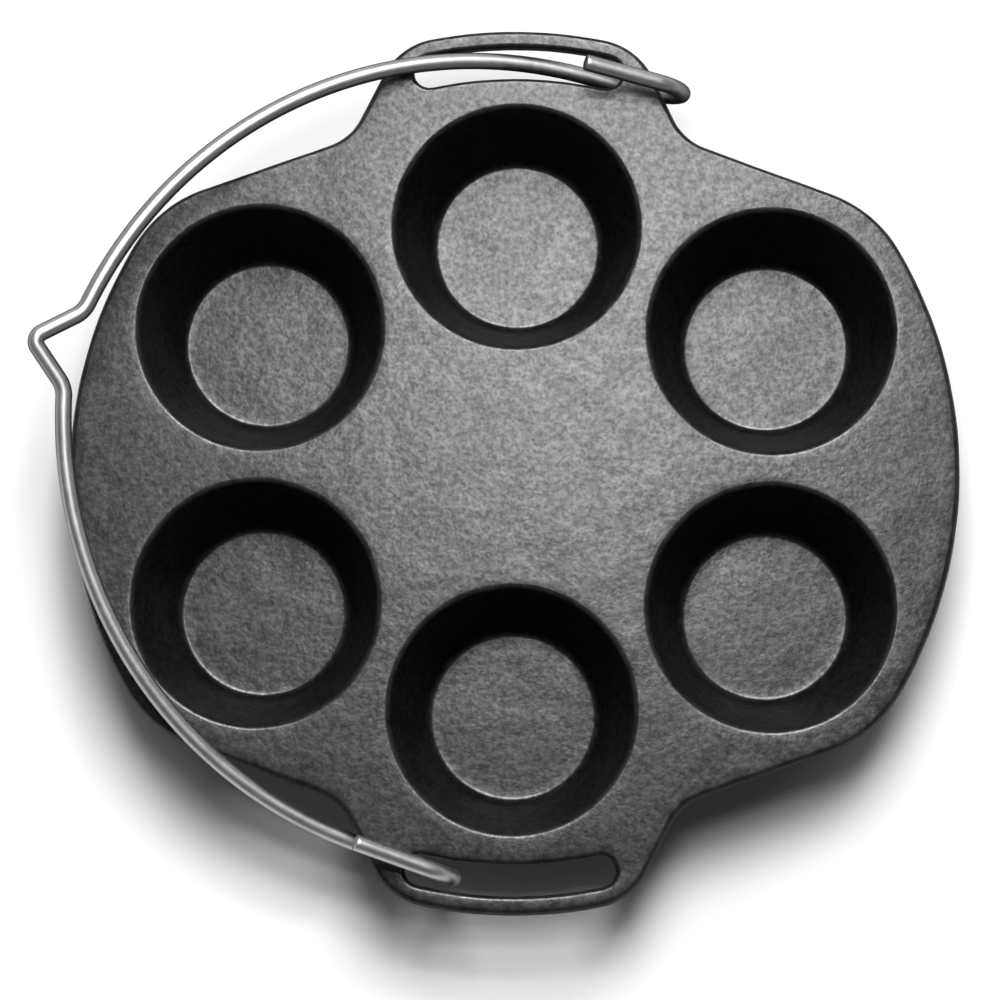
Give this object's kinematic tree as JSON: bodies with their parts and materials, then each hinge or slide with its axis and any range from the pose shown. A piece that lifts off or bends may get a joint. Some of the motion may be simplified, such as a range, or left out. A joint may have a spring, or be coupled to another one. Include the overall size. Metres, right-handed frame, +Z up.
{
  "type": "muffin pan",
  "caption": "Round cast-iron muffin pan with tapered cups below a flat deck, slotted hand tabs at the back and front, and a bent wire bail that swings over it.",
  "frame": {"origin": "centre of the deck's top face", "axes": "+Z up out of the deck, +Y towards the back tab, +X to the right with the back tab away from the viewer"},
  "size_m": [0.295, 0.285, 0.0762],
  "materials": {
    "seasoned_iron": "satin, sand-cast grain",
    "bail_steel": "polished"
  },
  "bodies": {
    "pan": {"deck": "seasoned_iron", "cup_back": "seasoned_iron", "cup_back_right": "seasoned_iron", "cup_front_right": "seasoned_iron", "cup_front": "seasoned_iron", "cup_front_left": "seasoned_iron", "cup_back_left": "seasoned_iron"},
    "bail": {"bail": "bail_steel"}
  },
  "joints": [
    {"name": "bail_swing", "type": "hinge", "parent": "pan", "child": "bail", "pos_m": [0, 0, -0.003], "axis": [0.3081, 0.9514, 0], "range_deg": [0, 165]}
  ]
}
